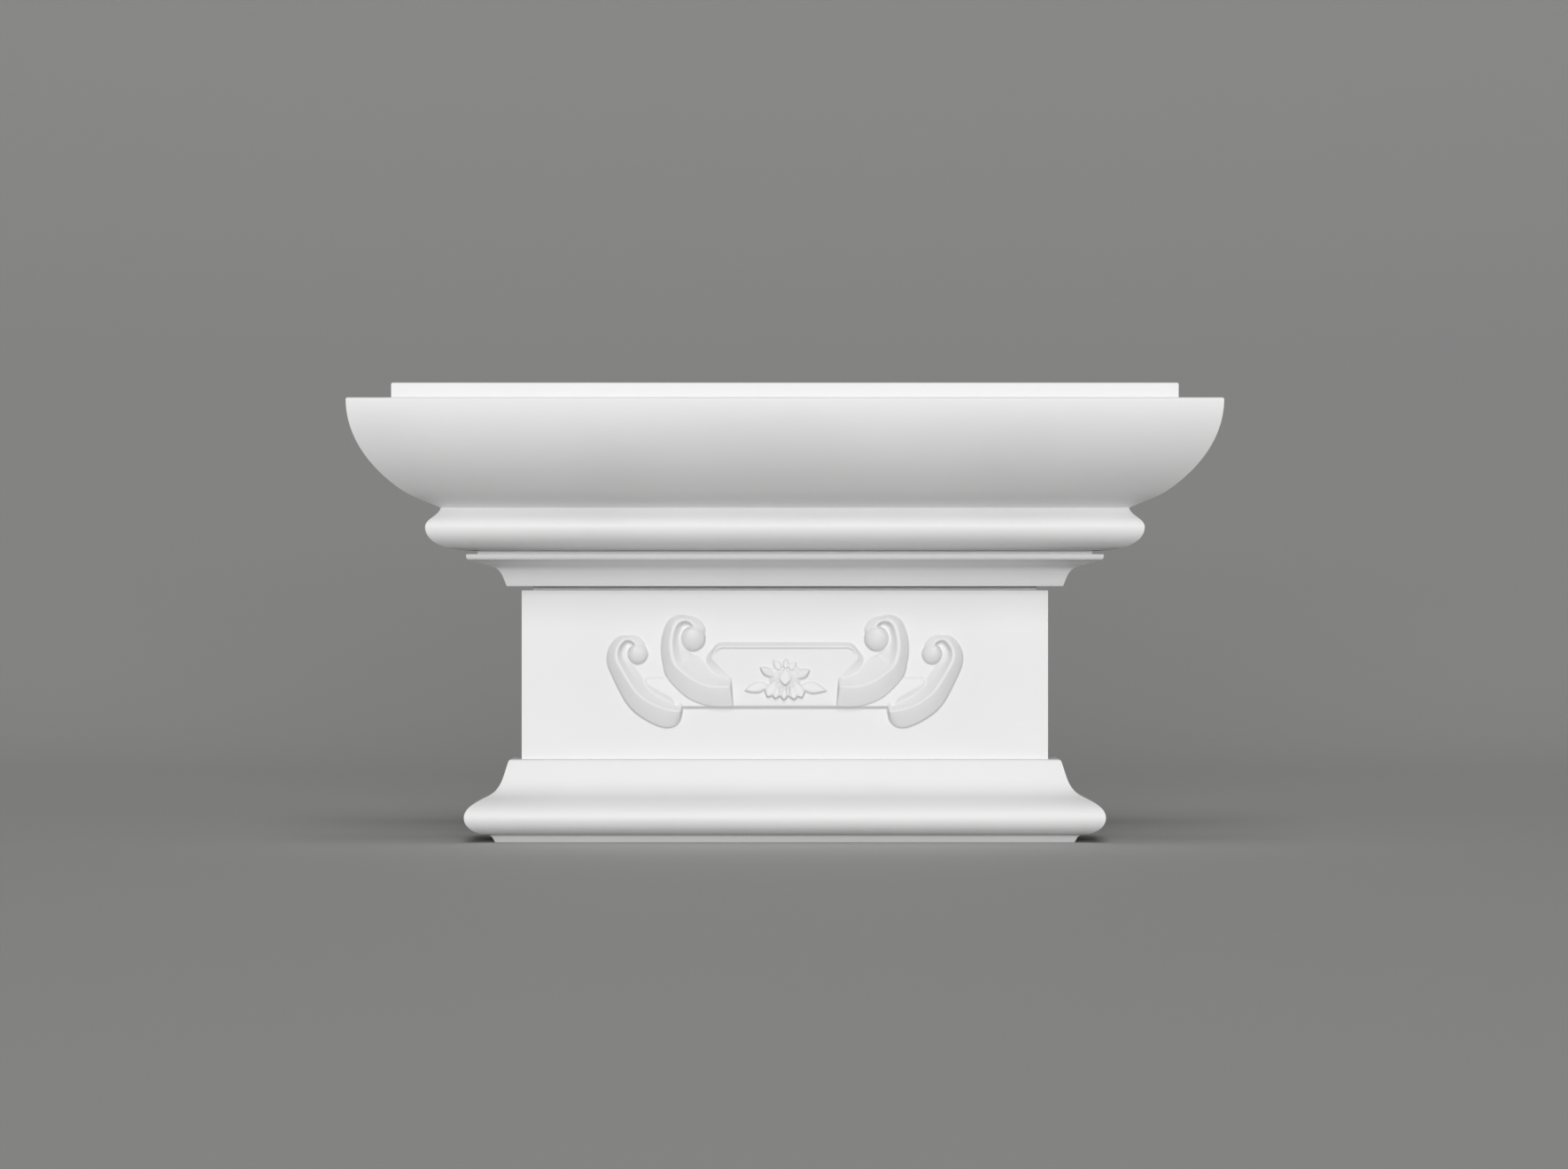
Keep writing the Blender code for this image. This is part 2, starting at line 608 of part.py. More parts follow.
def ornament():
    """All raised forms on the neck, each a closed solid sunk into it."""
    forms = [slab("wings", wing_foot(), wing_face(), wing_height)]
    forms.append(slab("tablet", tablet_foot(), tablet_face(), tablet_height))
    forms.append(bead("bead"))
    for side in (1, -1):
        tag = "right" if side > 0 else "left"
        start = (OUTER_START_X, OUTER_START_UP)
        path = stations(start, OUTER_HEADING, OUTER_ARCS, OUTER_FIRST)
        end = (OUTER_END_ROUND, OUTER_END_W, OUTER_END_H)
        forms.append(scroll("outer_scroll_" + tag, side, path, *end))
        start = (INNER_START_X, INNER_START_UP)
        path = stations(start, INNER_HEADING, INNER_ARCS, INNER_FIRST)
        end = (INNER_END_ROUND, INNER_END_W, INNER_END_H)
        forms.append(scroll("inner_scroll_" + tag, side, path, *end))
        eye = (side * OUTER_EYE_X, OUTER_EYE_UP, 2 * OUTER_EYE_R, 2 * OUTER_EYE_R, OUTER_EYE_H)
        shift = (side * OUTER_EYE_SHIFT_X, OUTER_EYE_SHIFT_UP)
        forms.append(dome("outer_eye_" + tag, *eye, *shift))
        eye = (side * INNER_EYE_X, INNER_EYE_UP, 2 * INNER_EYE_R, 2 * INNER_EYE_R, INNER_EYE_H)
        shift = (side * INNER_EYE_SHIFT_X, INNER_EYE_SHIFT_UP)
        forms.append(dome("inner_eye_" + tag, *eye, *shift))
    for i, sizes in enumerate(PETALS):
        forms.append(petal("petal_%d" % i, *sizes))
    forms.append(dome("boss", BOSS_X, BOSS_UP, BOSS_W, BOSS_TALL, BOSS_H))
    return forms


def join_into(body, forms):
    """Unite all the forms with the body at once and drop the separate forms."""
    group = bpy.data.collections.new("forms")
    bpy.context.scene.collection.children.link(group)
    for form in forms:
        group.objects.link(form)
    union = body.modifiers.new("unite", "BOOLEAN")
    union.operation = "UNION"
    union.solver = "EXACT"
    union.operand_type = "COLLECTION"
    union.collection = group
    bpy.context.view_layer.update()
    graph = bpy.context.evaluated_depsgraph_get()
    mesh = bpy.data.meshes.new_from_object(body.evaluated_get(graph))
    body.modifiers.clear()
    body.data = mesh
    for form in forms:
        bpy.data.objects.remove(form, do_unlink=True)
    bpy.data.collections.remove(group)


def tidy_mesh(body):
    bm = bmesh.new()
    bm.from_mesh(body.data)
    bmesh.ops.remove_doubles(bm, verts=bm.verts, dist=MERGE)
    bmesh.ops.dissolve_degenerate(bm, edges=bm.edges, dist=MERGE)
    bmesh.ops.triangulate(bm, faces=bm.faces)
    bm.to_mesh(body.data)
    bm.free()
    body.data.name = body.name
    for polygon in body.data.polygons:
        polygon.use_smooth = True
    body.data.set_sharp_from_angle(angle=math.radians(30))


def paint(body):
    material = bpy.data.materials.new("white_paint")
    material.use_nodes = True
    shader = material.node_tree.nodes["Principled BSDF"]
    shader.inputs["Base Color"].default_value = PAINT_COLOUR
    shader.inputs["Roughness"].default_value = PAINT_ROUGHNESS
    shader.inputs["Metallic"].default_value = 0.0
    body.data.materials.clear()
    body.data.materials.append(material)


for old in list(bpy.data.objects):
    bpy.data.objects.remove(old, do_unlink=True)

capital = moulded_block()
join_into(capital, ornament())
tidy_mesh(capital)
paint(capital)
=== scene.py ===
# %% [markdown]
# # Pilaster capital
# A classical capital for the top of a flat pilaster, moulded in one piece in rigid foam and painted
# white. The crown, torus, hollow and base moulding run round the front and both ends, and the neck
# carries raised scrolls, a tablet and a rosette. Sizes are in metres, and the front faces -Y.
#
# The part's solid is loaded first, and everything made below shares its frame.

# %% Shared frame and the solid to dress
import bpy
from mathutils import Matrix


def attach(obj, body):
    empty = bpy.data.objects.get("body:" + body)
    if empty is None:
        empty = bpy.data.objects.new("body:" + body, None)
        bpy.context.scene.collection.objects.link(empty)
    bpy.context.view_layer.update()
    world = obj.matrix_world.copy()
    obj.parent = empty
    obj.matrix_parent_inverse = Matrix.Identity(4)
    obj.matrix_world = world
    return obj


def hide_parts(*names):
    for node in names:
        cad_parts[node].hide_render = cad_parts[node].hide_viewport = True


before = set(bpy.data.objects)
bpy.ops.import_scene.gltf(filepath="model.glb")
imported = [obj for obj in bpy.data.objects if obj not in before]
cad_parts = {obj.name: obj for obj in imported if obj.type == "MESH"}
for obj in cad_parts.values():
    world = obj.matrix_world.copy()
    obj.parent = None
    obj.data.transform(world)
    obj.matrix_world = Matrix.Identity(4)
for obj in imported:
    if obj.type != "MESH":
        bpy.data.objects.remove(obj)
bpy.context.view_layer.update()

# %% What the cells below use
import math

import bmesh
import bpy
import numpy as np
from mathutils import Vector

print("working in", bpy.context.scene.name)

# %% [markdown]
# ## Side outline
# The bands round the block are mouldings, and each has the same side outline on the front and on
# both ends. They could be cut from a box or stacked from bars. Here one outline is drawn and later
# run round the block, since that is how a moulding is defined, and every line stays straight.
# The outline climbs from the underside to the top as pairs of numbers: how far it stands out from
# the neck, and how high it is. A bow is a smooth curve set by its two ends and by the angles at
# which it leaves and arrives.

# %% Curves of the side outline
NECK_W = 0.2400
NECK_D = 0.0450
NECK_H = 0.0771
FULLNESS = 0.36
CURVE_STEPS = 20
LEVEL = 0
UPRIGHT = 90


def bow(start, start_deg, end, end_deg, fullness=FULLNESS, steps=CURVE_STEPS):
    """Points of a smooth curve, without its start. Degrees are measured up from level."""
    pull = fullness * math.dist(start, end)
    leave = math.radians(start_deg)
    arrive = math.radians(end_deg)
    near = (start[0] + pull * math.cos(leave), start[1] + pull * math.sin(leave))
    far = (end[0] - pull * math.cos(arrive), end[1] - pull * math.sin(arrive))
    knots = (start, near, far, end)
    points = []
    for i in range(1, steps + 1):
        t = i / steps
        weights = ((1 - t) ** 3, 3 * (1 - t) ** 2 * t, 3 * (1 - t) * t ** 2, t ** 3)
        points.append(tuple(sum(w * k[axis] for w, k in zip(weights, knots)) for axis in (0, 1)))
    return points


print("a bow has", CURVE_STEPS, "steps")

# %% [markdown]
# ## Base moulding
# The capital sits on its shaft on a small foot. Over the foot swells a round nose, and a long hollow
# climbs from its shoulder to a fine edge at the neck. Nose and hollow could be plain quarter
# circles, but the real ones are fuller below than above, so each is a bow with its own angles.

# %% Base moulding, underside to neck
BASE_FOOT = [(0.0116, 0.0), (0.0130, 0.0025), (0.0143, 0.0034)]
BASE_NOSE = (0.0252, 0.0114)
BASE_SHOULDER = (0.0158, 0.0204)
BASE_SHOULDER_DEG = 155
BASE_LIP = (0.0057, 0.0369)
BASE_LIP_DEG = 110
BASE_HOLLOW_FULLNESS = 0.42
BASE_EDGE = [(0.0050, 0.0374), (0.0, 0.0374)]

base = BASE_FOOT + bow(BASE_FOOT[-1], LEVEL, BASE_NOSE, UPRIGHT)
base += bow(BASE_NOSE, UPRIGHT, BASE_SHOULDER, BASE_SHOULDER_DEG)
base += bow(BASE_SHOULDER, BASE_SHOULDER_DEG, BASE_LIP, BASE_LIP_DEG, BASE_HOLLOW_FULLNESS)
base += BASE_EDGE
neck_foot = base[-1][1]
neck_top = neck_foot + NECK_H
print("base moulding is %.1f mm high" % (neck_foot * 1000))

# %% [markdown]
# ## Hollow over the neck
# A hollow with a narrow lip spreads out over the neck. Under it a fine line is sunk into the block,
# which reads as a crisp dark line, because almost no light gets to the bottom of it. A dark stripe
# of paint would look right from the front alone, so the line is a real groove in the outline.

# %% Sunk line, hollow and lip
QUIRK_H = 0.0018
QUIRK_DEPTH = 0.0050
HOLLOW_FOOT_P = 0.0066
HOLLOW_FOOT_DEG = 71
HOLLOW_TOP_P = 0.0208
HOLLOW_TOP_DEG = 19
HOLLOW_H = 0.0113
HOLLOW_FULLNESS = 0.60
LIP_P = 0.0242
LIP_ROUND_H = 0.0019
LIP_ROUND_STEPS = 6
LIP_H = 0.0014


def hollow_outline(z):
    points = [(0.0, z), (-QUIRK_DEPTH, z)]
    z += QUIRK_H
    points += [(-QUIRK_DEPTH, z), (HOLLOW_FOOT_P, z)]
    top = (HOLLOW_TOP_P, z + HOLLOW_H)
    lip = (LIP_P, top[1] + LIP_ROUND_H)
    points += bow(points[-1], HOLLOW_FOOT_DEG, top, HOLLOW_TOP_DEG, fullness=HOLLOW_FULLNESS)
    points += bow(top, HOLLOW_TOP_DEG, lip, UPRIGHT, steps=LIP_ROUND_STEPS)
    return points + [(LIP_P, lip[1] + LIP_H)]


hollow_rows = hollow_outline(neck_top)
print("lip stands out %.1f mm" % (LIP_P * 1000))

# %% [markdown]
# ## Torus, crown and plate
# A second sunk line parts the hollow from the torus, a half-round band. From the crease over it the
# crown swells out like a quarter of a bowl and ends in a narrow upright edge, and a low plate is set
# back on top. The crown could be one curve. It is drawn as two, a short one that leaves the crease
# at a low angle and a long one that turns upright, because the real crown is flatter at its foot.

# %% Sunk line, torus, crown and plate
TORUS_FOOT_P = 0.0250
TORUS_NOSE_P = 0.0418
TORUS_UNDER_H = 0.0102
TORUS_TOP_P = 0.0351
TORUS_TOP_H = 0.0088
TORUS_TOP_DEG = 104
CROWN_SPRING_DEG = 25
CROWN_SPRING_STEPS = 8
CROWN_SHELL_P = 0.0522
CROWN_SHELL_H = 0.0081
CROWN_SHELL_DEG = 36
CROWN_P = 0.0753
CROWN_H = 0.0400
CROWN_ARRIS = 0.0006
PLATE_P = 0.0562
PLATE_H = 0.0071
PLATE_ARRIS = 0.0005


def crown_outline(z):
    points = [(LIP_P - QUIRK_DEPTH, z)]
    z += QUIRK_H
    points += [(LIP_P - QUIRK_DEPTH, z), (TORUS_FOOT_P, z)]
    nose = (TORUS_NOSE_P, z + TORUS_UNDER_H)
    crease = (TORUS_TOP_P, nose[1] + TORUS_TOP_H)
    shell = (CROWN_SHELL_P, crease[1] + CROWN_SHELL_H)
    crown = (CROWN_P, shell[1] + CROWN_H)
    points += bow(points[-1], LEVEL, nose, UPRIGHT)
    points += bow(nose, UPRIGHT, crease, TORUS_TOP_DEG)
    points += bow(crease, CROWN_SPRING_DEG, shell, CROWN_SHELL_DEG, steps=CROWN_SPRING_STEPS)
    points += bow(shell, CROWN_SHELL_DEG, crown, UPRIGHT, steps=2 * CURVE_STEPS)
    z = crown[1] + CROWN_ARRIS
    points += [(CROWN_P - CROWN_ARRIS, z), (PLATE_P, z)]
    z += PLATE_H
    points += [(PLATE_P, z - PLATE_ARRIS), (PLATE_P - PLATE_ARRIS, z)]
    return points


upper = hollow_rows + crown_outline(hollow_rows[-1][1])
print("crown stands out %.1f mm, top at %.1f mm" % (CROWN_P * 1000, upper[-1][1] * 1000))

# %% [markdown]
# ## Eased edges
# Nothing moulded and painted has a perfectly sharp edge. A bevel modifier could round the edges of
# the finished block, but it would also catch the carving. Easing the corners of the outline costs
# a few points, and each edge then catches a thin line of light as the real ones do.

# %% Ease the corners of the outline
EASE = 0.00035
EASE_FROM_DEG = 18
EASE_MAX_SHARE = 0.4
EASE_SHARES = (0.0, 0.33, 0.67, 1.0)
NECK_LEAD = 0.001


def eased(points):
    """The outline with each corner sharper than EASE_FROM_DEG turned into a small curve."""
    soft = [points[0]]
    for a, b, c in zip(points, points[1:], points[2:]):
        before = Vector((b[0] - a[0], b[1] - a[1]))
        after = Vector((c[0] - b[0], c[1] - b[1]))
        if before.angle(after) < math.radians(EASE_FROM_DEG):
            soft.append(b)
            continue
        cut = min(EASE, EASE_MAX_SHARE * before.length, EASE_MAX_SHARE * after.length)
        start = Vector(b) - before.normalized() * cut
        end = Vector(b) + after.normalized() * cut
        for share in EASE_SHARES:
            mixed = start.lerp(Vector(b), share).lerp(Vector(b).lerp(end, share), share)
            soft.append((mixed.x, mixed.y))
    soft.append(points[-1])
    return soft


lower_rows = eased(base + [(0.0, neck_foot + NECK_LEAD)])[:-1]
upper_rows = eased([(0.0, neck_top - NECK_LEAD)] + upper)[1:]
print(len(lower_rows) + len(upper_rows), "points in the outline")

# %% [markdown]
# ## Ornament as a height map
# The ornament on the neck is cast with it, like a shallow carving with no undercut. It could be
# sculpted by hand or built from separate solids. A height map suits it better: for every spot on
# the neck, how far does the surface stand out? Each form gives its own answer and the highest one
# wins, so forms run into each other as they do in a mould. X is measured from the middle of the
# neck and UP from mid-height.

# %% Grid of spots on the neck
CELL = 0.00023
REACH_X = 0.0845
REACH_DOWN = -0.0275
REACH_UP = 0.0310
columns = round(2 * REACH_X / CELL)
rows = round((REACH_UP - REACH_DOWN) / CELL)
grid_x, grid_up = np.meshgrid(
    np.linspace(-REACH_X, REACH_X, columns + 1),
    np.linspace(REACH_DOWN, REACH_UP, rows + 1),
)
half_x = np.abs(grid_x)
print("grid of", grid_x.shape, "spots")


def ramp(value, low, high):
    """0 below low, 1 above high, and even in between."""
    return np.clip((value - low) / (high - low), 0.0, 1.0)


# %% [markdown]
# ## Distance to a line
# The scrolls, the bead and the raised fields all follow drawn lines. Each could be built with its
# own formula, but one helper serves them all: it goes through the pieces of a line and keeps, for
# every spot of the grid at once, the nearest piece.

# %% Nearest point on a drawn line
FAR_AWAY = 1e9


def nearest(line, x, up):
    """Distance to a line, the signed distance to its left, how far along it, and how far past."""
    best = np.full(x.shape, FAR_AWAY)
    side = np.zeros(x.shape)
    run = np.zeros(x.shape)
    past = np.zeros(x.shape)
    travelled = 0.0
    for index, ((ax, au), (bx, bu)) in enumerate(zip(line, line[1:])):
        length = math.dist((ax, au), (bx, bu))
        dx, du = (bx - ax) / length, (bu - au) / length
        along = (x - ax) * dx + (up - au) * du
        across = (up - au) * dx - (x - ax) * du
        held = np.clip(along, 0.0, length)
        away = np.hypot(along - held, across)
        closer = away < best
        best = np.where(closer, away, best)
        side = np.where(closer, across, side)
        run = np.where(closer, travelled + held, run)
        beyond = np.zeros(x.shape)
        if index == 0:
            beyond = np.maximum(beyond, -along)
        if index == len(line) - 2:
            beyond = np.maximum(beyond, along - length)
        past = np.where(closer, beyond, past)
        travelled += length
    return best, side, run, past


probe = nearest([(0.0, 0.0), (1.0, 0.0)], np.array([0.5]), np.array([0.2]))
print("a spot 0.2 over the middle of a line is", float(probe[0][0]), "away from it")

# %% [markdown]
# ## Crest lines of the scrolls
# A scroll is a band that unrolls from a ball. Its crest could be drawn as a free curve. Carvers set
# it out with a compass, as a chain of arcs, tight by the ball and wider as it runs out, and so does
# this cell. A row holds the radius of an arc, the degrees it turns through, and the sizes of the
# band at its end, in the order of SIZES. FIRST holds the sizes where the band starts.

# %% Crest lines as chains of arcs
SIZES = ("wall", "foot", "crest", "crest_w", "hollow", "drop", "drop_w")
OUTER_START = (0.0684, 0.0103)
OUTER_HEADING = 124
OUTER_FIRST = (0.0038, 0.0008, 0.0024, 0.0005, 0.0010, 0.85, 0.0008)
OUTER_ARCS = (
    (0.0035, 45, 0.0036, 0.0007, 0.0028, 0.0005, 0.0014, 0.85, 0.0010),
    (0.0039, 80, 0.0014, 0.0003, 0.0026, 0.0006, 0.0026, 0.85, 0.0015),
    (0.0035, 40, 0.0021, 0.0006, 0.0032, 0.0010, 0.0034, 0.80, 0.0018),
    (0.0082, 77, 0.0042, 0.0010, 0.0040, 0.0012, 0.0050, 0.35, 0.0024),
    (0.1400, 5, 0.0054, 0.0012, 0.0046, 0.0010, 0.0058, 0.08, 0.0026),
    (0.0210, 19, 0.0068, 0.0014, 0.0050, 0.0006, 0.0050, 0.03, 0.0026),
    (0.0290, 38, 0.0086, 0.0014, 0.0050, 0.0005, 0.0038, 0.03, 0.0024),
)
INNER_START = (0.0422, 0.0178)
INNER_HEADING = 128
INNER_FIRST = (0.0040, 0.0010, 0.0028, 0.0005, 0.0010, 0.85, 0.0008)
INNER_ARCS = (
    (0.0044, 40, 0.0044, 0.0008, 0.0030, 0.0005, 0.0014, 0.85, 0.0011),
    (0.0044, 72, 0.0014, 0.0003, 0.0028, 0.0008, 0.0030, 0.85, 0.0016),
    (0.0049, 85, 0.0030, 0.0006, 0.0040, 0.0014, 0.0060, 0.60, 0.0026),
    (0.0226, 40, 0.0042, 0.0012, 0.0050, 0.0014, 0.0096, 0.16, 0.0030),
    (0.0086, 27, 0.0062, 0.0018, 0.0056, 0.0010, 0.0106, 0.05, 0.0028),
    (0.0399, 14, 0.0080, 0.0026, 0.0060, 0.0006, 0.0092, 0.03, 0.0026),
    (0.0201, 32, 0.0088, 0.0030, 0.0064, 0.0005, 0.0064, 0.02, 0.0024),
    (0.1144, 2.8, 0.0090, 0.0030, 0.0064, 0.0005, 0.0050, 0.02, 0.0024),
)
CREST_STEP_MM = 0.25


def crest_line(start, heading_deg, first, arcs):
    line = [start]
    sizes = [first]
    x, up = start
    heading = math.radians(heading_deg)
    for radius, turn_deg, *at_end in arcs:
        turn = math.radians(turn_deg)
        centre = (x + radius * math.sin(heading), up - radius * math.cos(heading))
        before = sizes[-1]
        count = math.ceil(radius * turn * 1000 / CREST_STEP_MM)
        for i in range(1, count + 1):
            angle = heading - turn * i / count
            line.append((centre[0] - radius * math.sin(angle), centre[1] + radius * math.cos(angle)))
            sizes.append([a + (b - a) * i / count for a, b in zip(before, at_end)])
        x, up = line[-1]
        heading -= turn
    lengths = [0.0]
    for a, b in zip(line, line[1:]):
        lengths.append(lengths[-1] + math.dist(a, b))
    return line, np.array(lengths), dict(zip(SIZES, np.array(sizes).T))


outer_crest = crest_line(OUTER_START, OUTER_HEADING, OUTER_FIRST, OUTER_ARCS)
inner_crest = crest_line(INNER_START, INNER_HEADING, INNER_FIRST, INNER_ARCS)
print("crests are %.0f and %.0f mm long" % (outer_crest[1][-1] * 1000, inner_crest[1][-1] * 1000))

# %% [markdown]
# ## Section of the scrolls
# Outside its crest a scroll has a swelling wall that slopes down to a small step, and inside it a
# steep lip drops into a dished hollow. A bevelled curve would have one section all the way. Here
# the section is worked out from the sizes at each place along the crest, because the real band
# grows from a thread at the ball to a broad leaf at its end.

# %% Height of a scroll
BULGE = 0.35
FOOT_MAX_SHARE = 0.6
FOOT_FADE_W = 0.0003
START_FADE_W = 0.0004
END_POWER = 2.2
END_WALL_SHARE = 0.06
DROP_POWER = 1.3
DISH_POWER = 1.05
RIM_W = 0.0030
RIM_L = 0.0085
RIM_POWER = 1.2
OUTER_END = (0.0080, 0.0008, 0.0040)
INNER_END = (0.0, 0.0006, 0.0050)


def scroll_height(crest_parts, end_round, end_w, end_h):
    """end_round is how far back the wall narrows, end_w and end_h the slope and height there."""
    line, lengths, sizes = crest_parts
    _, out, run, past = nearest(line, half_x, grid_up)
    at_run = {name: np.interp(run, lengths, sizes[name]) for name in SIZES}
    left = lengths[-1] - run
    crest = end_h + (at_run["crest"] - end_h) * ramp(left, 0.0, end_w)
    wall = at_run["wall"]
    if end_round:
        narrowed = (1 - (1 - ramp(left, 0.0, end_round)) ** END_POWER) ** (1 / END_POWER)
        wall = wall * np.maximum(END_WALL_SHARE, narrowed)
    edge = at_run["crest_w"] / 2
    foot = np.minimum(at_run["foot"], FOOT_MAX_SHARE * crest)
    t = np.clip((out - edge) / wall, 0.0, 1.0)
    outside = foot + (crest - foot) * (1 - t) * (1 + BULGE * t)
    outside = outside * (1 - ramp(out, edge + wall, edge + wall + FOOT_FADE_W))
    u = np.clip(-edge - out, 0.0, None)
    quick = np.clip(1 - u / at_run["drop_w"], 0.0, 1.0) ** DROP_POWER
    dish = np.clip(1 - u / at_run["hollow"], 0.0, 1.0) ** DISH_POWER
    inside = crest * (at_run["drop"] * quick + (1 - at_run["drop"]) * dish)
    rim = np.clip(1 - left / RIM_W, 0.0, 1.0) ** RIM_POWER * np.clip(1 - u / RIM_L, 0.0, 1.0)
    inside = np.maximum(inside, crest * rim)
    height = np.where(out >= 0, outside, inside)
    return height * (1 - ramp(past, 0.0, START_FADE_W))


scrolls = np.maximum(scroll_height(outer_crest, *OUTER_END), scroll_height(inner_crest, *INNER_END))
print("scrolls stand out %.1f mm at most" % (scrolls.max() * 1000))

# %% [markdown]
# ## Balls of the scrolls
# The ball at the middle of each scroll is the rounded end of the band itself. A sphere pressed into
# the neck would leave a hard ring round it. Here its top lies toward the middle of the curl and the
# valley beside it is filled, so that the outer wall flows up onto it as the cast one does.

# %% Domes
DOME_LEVELS = 40
OUTER_EYE = (0.0671, 0.0094, 0.0094, 0.0094, 0.0040, 0.0014, 0.0022)
INNER_EYE = (0.0419, 0.0164, 0.0116, 0.0116, 0.0046, 0.0012, 0.0030)
EYE_BLEND_FROM_H = 0.0003
EYE_BLEND_W = 0.0008


def dome_height(x, x_mid, up_mid, width, tall, height, shift_x=0.0, shift_up=0.0):
    """A dome whose top is shifted: each level is an oval whose middle moves with the level."""
    best = np.zeros(x.shape)
    for spread in np.linspace(1.0, 0.0, DOME_LEVELS):
        rise = height * math.sqrt(1 - spread ** 2)
        reach = np.hypot(
            (x - x_mid - shift_x * (1 - spread)) / (width / 2),
            (grid_up - up_mid - shift_up * (1 - spread)) / (tall / 2),
        )
        best = np.where(reach <= spread, np.maximum(best, rise), best)
    return best


def blend(a, b, width):
    """The higher of two forms, with the valley between them filled over the given width."""
    near = np.clip(1 - np.abs(a - b) / width, 0.0, 1.0)
    return np.maximum(a, b) + near ** 2 * width / 4


eyes = np.maximum(dome_height(half_x, *OUTER_EYE), dome_height(half_x, *INNER_EYE))
scrolls = np.where(eyes > EYE_BLEND_FROM_H, blend(scrolls, eyes, EYE_BLEND_W), scrolls)
print("balls stand out %.1f mm" % (eyes.max() * 1000))

# %% [markdown]
# ## Outlines of the tablet and wings
# Behind the rosette lies a low tablet, and lower wings run out behind the scrolls on each side. Each
# has two outlines, the foot of its edge and the edge of its face, both with rounded corners. They
# could be bevelled boxes, but an edge that is narrow at the foot and broad at the sides asks for two
# outlines of their own. A row holds a corner's x, its up and its radius. The left half mirrors the
# right one.

# %% Outlines with rounded corners
CORNER_STEPS = 10
EDGE_R = 0.0011


def mirrored(right_half):
    return right_half + tuple((-x, up, radius) for x, up, radius in reversed(right_half))


def rounded(corners):
    outline = []
    for i, (x, up, radius) in enumerate(corners):
        ax, au = corners[i - 1][:2]
        bx, bu = corners[(i + 1) % len(corners)][:2]
        to_a = math.atan2(au - up, ax - x)
        to_b = math.atan2(bu - up, bx - x)
        between = (to_b - to_a + math.pi) % (2 * math.pi) - math.pi
        cut = radius / math.tan(abs(between) / 2)
        reach = radius / math.sin(abs(between) / 2)
        middle = to_a + between / 2
        cx, cu = x + reach * math.cos(middle), up + reach * math.sin(middle)
        first = math.atan2(up + cut * math.sin(to_a) - cu, x + cut * math.cos(to_a) - cx)
        last = math.atan2(up + cut * math.sin(to_b) - cu, x + cut * math.cos(to_b) - cx)
        sweep = (last - first + math.pi) % (2 * math.pi) - math.pi
        for k in range(CORNER_STEPS + 1):
            a = first + sweep * k / CORNER_STEPS
            outline.append((cx + radius * math.cos(a), cu + radius * math.sin(a)))
    return outline


tablet_foot = mirrored((
    (0.0330, -0.0152, EDGE_R),
    (0.0359, -0.0060, EDGE_R),
    (0.0359, 0.0085, 0.0042),
    (0.0305, 0.0150, 0.0042),
))
tablet_face = mirrored((
    (0.0253, -0.0141, EDGE_R),
    (0.0253, -0.0008, 0.0015),
    (0.0336, 0.0075, 0.0015),
    (0.0318, 0.0134, 0.0048),
))
wing_foot = mirrored((
    (0.0502, -0.0155, EDGE_R),
    (0.0545, -0.0134, EDGE_R),
    (0.0654, -0.0066, 0.0030),
    (0.0654, -0.0008, 0.0030),
))
wing_face = mirrored((
    (0.0498, -0.0144, EDGE_R),
    (0.0516, -0.0105, EDGE_R),
    (0.0630, -0.0040, EDGE_R),
    (0.0630, -0.0019, 0.0006),
))
print("tablet outline has", len(rounded(tablet_face)), "points")

# %% [markdown]
# ## Raised fields
# On the real neck the tablet has a crisp edge at its foot and gentle slopes at its sides, and the
# wings grow thicker downward. Between the two outlines of a field the height is shared out by how
# near a spot is to each, which gives a narrow or a broad slope without building any edge by hand.

# %% Tablet and wings
NEVER_ZERO = 1e-9
TABLET_H = 0.0024
WING_TOP_H = 0.0010
WING_GAIN_H = 0.0012
WING_TOP_DOWN = 0.0008
WING_FOOT_DOWN = 0.0155


def field_share(foot_corners, face_corners):
    """0 outside a field's foot, 1 on its face, and sloping in between."""
    depths = []
    for ring in (rounded(foot_corners), rounded(face_corners)):
        closed = ring + ring[:1]
        away = nearest(closed, grid_x, grid_up)[0]
        inside = np.zeros(grid_x.shape, bool)
        for (ax, au), (bx, bu) in zip(closed, closed[1:]):
            if au != bu:
                crosses = (au > grid_up) != (bu > grid_up)
                inside ^= crosses & (grid_x < ax + (grid_up - au) * (bx - ax) / (bu - au))
        depths.append(np.where(inside, away, -away))
    to_foot, to_face = depths
    past_foot = np.clip(to_foot, 0, None)
    short_of_face = np.clip(-to_face, 0, None)
    slope = past_foot / np.maximum(past_foot + short_of_face, NEVER_ZERO)
    return np.where(to_face > 0, 1.0, np.where(to_foot > 0, slope, 0.0))


wing_rise = WING_TOP_H + WING_GAIN_H * ramp(-grid_up, WING_TOP_DOWN, WING_FOOT_DOWN)
tablet = TABLET_H * field_share(tablet_foot, tablet_face)
wings = wing_rise * field_share(wing_foot, wing_face)
print("tablet stands out %.1f mm, wings %.1f mm" % (tablet.max() * 1000, wings.max() * 1000))

# %% [markdown]
# ## Bead
# A fine bead runs along the top edge of the tablet and dies away at its ends. It could be a bent
# rod, but it is cast with the tablet, so it is a low rounded ridge in the same height map, set just
# inside the line between the tablet's two upper corners.

# %% Bead along the tablet's top edge
BEAD_W = 0.0020
BEAD_H = 0.0007
BEAD_SET = 0.0006
BEAD_FADE_LOW = 0.0092
BEAD_FADE_HIGH = 0.0118
BEAD_ON_SHARE = 0.5

